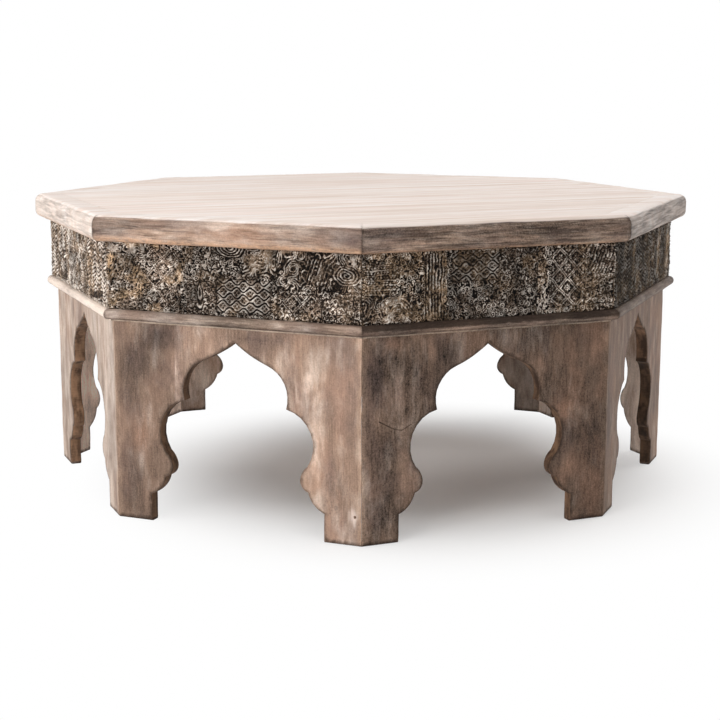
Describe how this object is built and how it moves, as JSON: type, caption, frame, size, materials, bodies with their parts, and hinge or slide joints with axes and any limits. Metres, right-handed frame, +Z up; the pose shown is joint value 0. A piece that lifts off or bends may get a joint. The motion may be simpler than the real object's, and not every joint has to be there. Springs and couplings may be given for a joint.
{
  "type": "coffee table",
  "caption": "Octagonal carved wooden coffee table: whitewashed boarded top, skirt of carved printing blocks, rounded bead and side panels cut with cusped arches.",
  "frame": {"origin": "middle of the octagon on the floor, under the feet", "axes": "+Z up; -Y out of the first side panel, +X along it; the boards of the top run along X"},
  "size_m": [1, 1, 0.45],
  "materials": {
    "board_wood": "whitewashed, matt",
    "lipping_wood": "waxed, worn",
    "batten_wood": "sawn, bare",
    "panel_wood": "greyed, matt",
    "bead_wood": "greyed, matt",
    "block_wood": "carved, dark grooves and worn pale crests"
  },
  "bodies": {
    "root": {"top_board_1": "board_wood", "top_board_2": "board_wood", "top_board_3": "board_wood", "top_board_4": "board_wood", "top_board_5": "board_wood", "top_board_6": "board_wood", "top_board_7": "board_wood", "top_lipping_1": "lipping_wood", "top_lipping_2": "lipping_wood", "top_lipping_3": "lipping_wood", "top_lipping_4": "lipping_wood", "top_lipping_5": "lipping_wood", "top_lipping_6": "lipping_wood", "top_lipping_7": "lipping_wood", "top_lipping_8": "lipping_wood", "top_batten_1": "batten_wood", "top_batten_2": "batten_wood", "side_panel_1": "panel_wood", "side_panel_2": "panel_wood", "side_panel_3": "panel_wood", "side_panel_4": "panel_wood", "side_panel_5": "panel_wood", "side_panel_6": "panel_wood", "side_panel_7": "panel_wood", "side_panel_8": "panel_wood", "bead_1": "bead_wood", "bead_2": "bead_wood", "bead_3": "bead_wood", "bead_4": "bead_wood", "bead_5": "bead_wood", "bead_6": "bead_wood", "bead_7": "bead_wood", "bead_8": "bead_wood", "carved_block_1a": "block_wood", "carved_block_1b": "block_wood", "carved_block_1c": "block_wood", "carved_block_2a": "block_wood", "carved_block_2b": "block_wood", "carved_block_2c": "block_wood", "carved_block_3a": "block_wood", "carved_block_3b": "block_wood", "carved_block_3c": "block_wood", "carved_block_4a": "block_wood", "carved_block_4b": "block_wood", "carved_block_4c": "block_wood", "carved_block_5a": "block_wood", "carved_block_5b": "block_wood", "carved_block_5c": "block_wood", "carved_block_6a": "block_wood", "carved_block_6b": "block_wood", "carved_block_6c": "block_wood", "carved_block_7a": "block_wood", "carved_block_7b": "block_wood", "carved_block_7c": "block_wood", "carved_block_8a": "block_wood", "carved_block_8b": "block_wood", "carved_block_8c": "block_wood"}
  },
  "joints": []
}
